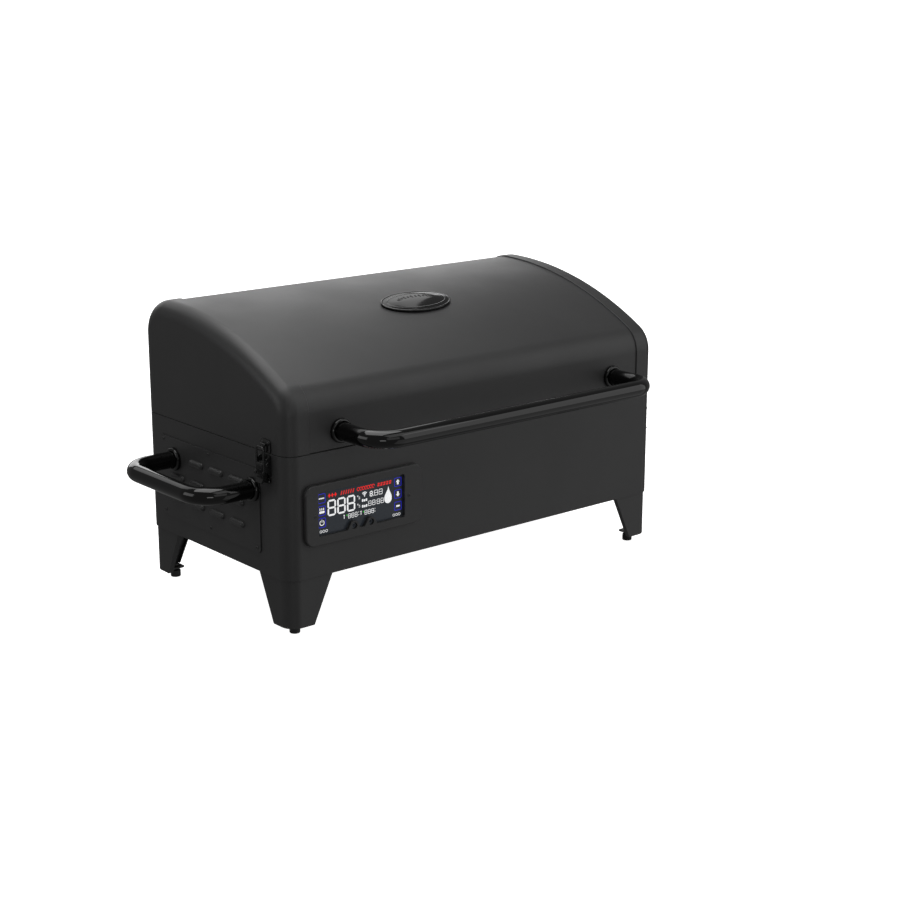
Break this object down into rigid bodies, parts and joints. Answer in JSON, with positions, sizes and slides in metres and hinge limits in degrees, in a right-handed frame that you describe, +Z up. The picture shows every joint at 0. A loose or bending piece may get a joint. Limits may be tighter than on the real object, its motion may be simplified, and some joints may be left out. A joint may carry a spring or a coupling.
{
  "type": "pellet smoker grill",
  "caption": "Portable wood-pellet smoker grill: hinged lid, side hopper with auger and fan, fire pot, grate, grease drawer, control panel, draw latches and levelling legs.",
  "frame": {"origin": "middle of the bounding box at floor level, under the levelling feet", "axes": "+X to the right-hand end seen from the front, -Y to the front with the lid handle and control panel, +Z up"},
  "size_m": [0.7186, 0.4186, 0.3779],
  "materials": {
    "black_coat": "matte charcoal-black powder coat with a fine texture",
    "gloss_black": "high-gloss black enamel",
    "display_glass": "dark slate touch glass over a lit display",
    "plain_steel": "mill-finish sheet steel",
    "enamel": "speckled porcelain enamel",
    "plastic": "black moulded plastic",
    "circuit_board": "green solder mask"
  },
  "bodies": {
    "base": {"body_shell": "black_coat", "body_floor": "black_coat", "partition_wall": "black_coat", "hopper_deck": "black_coat", "left_access_panel": "black_coat", "leg_front_left": "black_coat", "leg_front_right": "black_coat", "leg_rear_left": "black_coat", "leg_rear_right": "black_coat", "side_handle": "gloss_black", "side_handle_flange_front": "gloss_black", "side_handle_flange_rear": "gloss_black", "control_bezel": "black_coat", "display_glass": "display_glass", "control_board": "circuit_board", "probe_jack_1": "plastic", "probe_jack_2": "plastic", "latch_base_left": "gloss_black", "latch_base_right": "gloss_black", "hinge_body_leaf_left": "gloss_black", "hinge_pin_left": "gloss_black", "hinge_body_leaf_right": "gloss_black", "hinge_pin_right": "gloss_black", "hopper_bin": "plain_steel", "hopper_hinge_pin": "plain_steel", "hopper_guard": "plain_steel", "auger_tube": "plain_steel", "auger_motor": "plain_steel", "fan_housing": "plastic", "fire_pot": "plain_steel", "igniter_rod": "plain_steel", "heat_baffle": "plain_steel", "drip_tray": "enamel", "cooking_grate": "enamel", "temperature_probe": "plain_steel", "exhaust_hood": "black_coat", "power_inlet": "plastic"},
    "lid": {"lid_skin": "black_coat", "lid_cap_left": "black_coat", "lid_cap_right": "black_coat", "lid_emblem": "gloss_black", "lid_handle": "gloss_black", "lid_handle_flange_left": "gloss_black", "lid_handle_flange_right": "gloss_black", "hinge_lid_leaf_left": "gloss_black", "hinge_lid_leaf_right": "gloss_black", "latch_keeper_left": "gloss_black", "latch_keeper_right": "gloss_black"},
    "hopper_lid": {"hopper_lid": "black_coat"},
    "auger": {"auger_screw": "plain_steel"},
    "fan": {"fan_impeller": "plastic"},
    "grease_drawer": {"grease_drawer": "black_coat"},
    "latch_lever_left": {"latch_lever_left": "gloss_black"},
    "latch_bail_left": {"latch_bail_left": "gloss_black"},
    "latch_lever_right": {"latch_lever_right": "gloss_black"},
    "latch_bail_right": {"latch_bail_right": "gloss_black"},
    "foot_front_left": {"levelling_foot_front_left": "plastic"},
    "foot_front_right": {"levelling_foot_front_right": "plastic"},
    "foot_rear_left": {"levelling_foot_rear_left": "plastic"},
    "foot_rear_right": {"levelling_foot_rear_right": "plastic"}
  },
  "joints": [
    {"name": "lid_hinge", "type": "hinge", "parent": "base", "child": "lid", "pos_m": [0.03525, 0.20125, 0.2283], "axis": [-1, 0, 0], "range_deg": [0, 95]},
    {"name": "hopper_lid_hinge", "type": "hinge", "parent": "base", "child": "hopper_lid", "pos_m": [-0.17075, 0.17325, 0.232], "axis": [-1, 0, 0], "range_deg": [0, 85]},
    {"name": "auger_turn", "type": "hinge", "parent": "base", "child": "auger", "pos_m": [-0.04875, 0.07525, 0.112], "axis": [1, 0, 0], "continuous": true},
    {"name": "fan_turn", "type": "hinge", "parent": "base", "child": "fan", "pos_m": [-0.2545, -0.00875, 0.145], "axis": [1, 0, 0], "continuous": true},
    {"name": "grease_drawer_slide", "type": "slide", "parent": "base", "child": "grease_drawer", "axis": [1, 0, 0], "range_m": [0, 0.09]},
    {"name": "latch_lever_turn_left", "type": "hinge", "parent": "base", "child": "latch_lever_left", "pos_m": [-0.27995, -0.08375, 0.216], "axis": [0, 1, 0], "range_deg": [0, 110]},
    {"name": "latch_bail_turn_left", "type": "hinge", "parent": "latch_lever_left", "child": "latch_bail_left", "pos_m": [-0.28355, -0.08375, 0.205], "axis": [0, 1, 0], "range_deg": [-110, 0]},
    {"name": "latch_lever_turn_right", "type": "hinge", "parent": "base", "child": "latch_lever_right", "pos_m": [0.35045, -0.08375, 0.216], "axis": [0, -1, 0], "range_deg": [0, 110]},
    {"name": "latch_bail_turn_right", "type": "hinge", "parent": "latch_lever_right", "child": "latch_bail_right", "pos_m": [0.35405, -0.08375, 0.205], "axis": [0, -1, 0], "range_deg": [-110, 0]},
    {"name": "foot_turn_front_left", "type": "hinge", "parent": "base", "child": "foot_front_left", "pos_m": [-0.25275, -0.10275, 0.012], "axis": [0, 0, 1], "continuous": true},
    {"name": "foot_turn_front_right", "type": "hinge", "parent": "base", "child": "foot_front_right", "pos_m": [0.32325, -0.10275, 0.012], "axis": [0, 0, 1], "continuous": true},
    {"name": "foot_turn_rear_left", "type": "hinge", "parent": "base", "child": "foot_rear_left", "pos_m": [-0.25275, 0.17325, 0.012], "axis": [0, 0, 1], "continuous": true},
    {"name": "foot_turn_rear_right", "type": "hinge", "parent": "base", "child": "foot_rear_right", "pos_m": [0.32325, 0.17325, 0.012], "axis": [0, 0, 1], "continuous": true}
  ],
  "couplings": [
    {"joint": "latch_bail_turn_left", "follows": "latch_lever_turn_left", "ratio": -1},
    {"joint": "latch_bail_turn_right", "follows": "latch_lever_turn_right", "ratio": -1}
  ]
}
